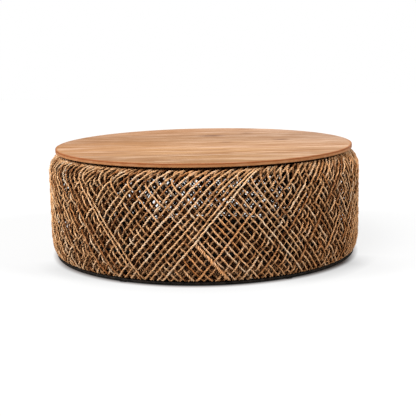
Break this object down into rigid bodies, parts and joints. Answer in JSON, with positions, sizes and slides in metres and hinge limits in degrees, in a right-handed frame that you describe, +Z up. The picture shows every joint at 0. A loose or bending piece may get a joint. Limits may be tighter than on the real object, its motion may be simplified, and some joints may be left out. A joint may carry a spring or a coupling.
{
  "type": "round coffee table",
  "caption": "Low round drum coffee table: thin teak top on an iron frame wound with natural rope, on a black base ring.",
  "frame": {"origin": "on the floor at the middle of the drum", "axes": "+Z up; +X along the boards' grain, to the right in the picture; -Y towards the camera"},
  "size_m": [0.98, 0.98, 0.34],
  "materials": {
    "teak": "oiled",
    "rope": "rough natural fibre",
    "black_iron": "satin black paint",
    "zinc": "zinc plated",
    "black_plastic": "matte"
  },
  "bodies": {
    "root": {"top_board_1": "teak", "top_board_2": "teak", "top_board_3": "teak", "top_board_4": "teak", "top_board_5": "teak", "top_board_6": "teak", "top_board_7": "teak", "top_board_8": "teak", "top_board_9": "teak", "cross_bar_long": "black_iron", "cross_bar_back": "black_iron", "cross_bar_front": "black_iron", "top_screw_1": "zinc", "top_screw_2": "zinc", "top_screw_3": "zinc", "top_screw_4": "zinc", "top_screw_5": "zinc", "top_screw_6": "zinc", "top_screw_7": "zinc", "top_screw_8": "zinc", "top_ring": "black_iron", "shoulder_ring": "black_iron", "middle_ring": "black_iron", "lower_ring": "black_iron", "bottom_ring": "black_iron", "frame_rib_1": "black_iron", "frame_rib_2": "black_iron", "frame_rib_3": "black_iron", "frame_rib_4": "black_iron", "frame_rib_5": "black_iron", "frame_rib_6": "black_iron", "frame_rib_7": "black_iron", "frame_rib_8": "black_iron", "frame_rib_9": "black_iron", "frame_rib_10": "black_iron", "frame_rib_11": "black_iron", "frame_rib_12": "black_iron", "base_ring": "black_iron", "foot_stud_1": "black_iron", "floor_glide_1": "black_plastic", "foot_stud_2": "black_iron", "floor_glide_2": "black_plastic", "foot_stud_3": "black_iron", "floor_glide_3": "black_plastic", "foot_stud_4": "black_iron", "floor_glide_4": "black_plastic", "foot_stud_5": "black_iron", "floor_glide_5": "black_plastic", "foot_stud_6": "black_iron", "floor_glide_6": "black_plastic", "rope_outer_1": "rope", "rope_outer_2": "rope", "rope_outer_3": "rope", "rope_inner_1": "rope", "rope_inner_2": "rope", "rope_inner_3": "rope"}
  },
  "joints": []
}
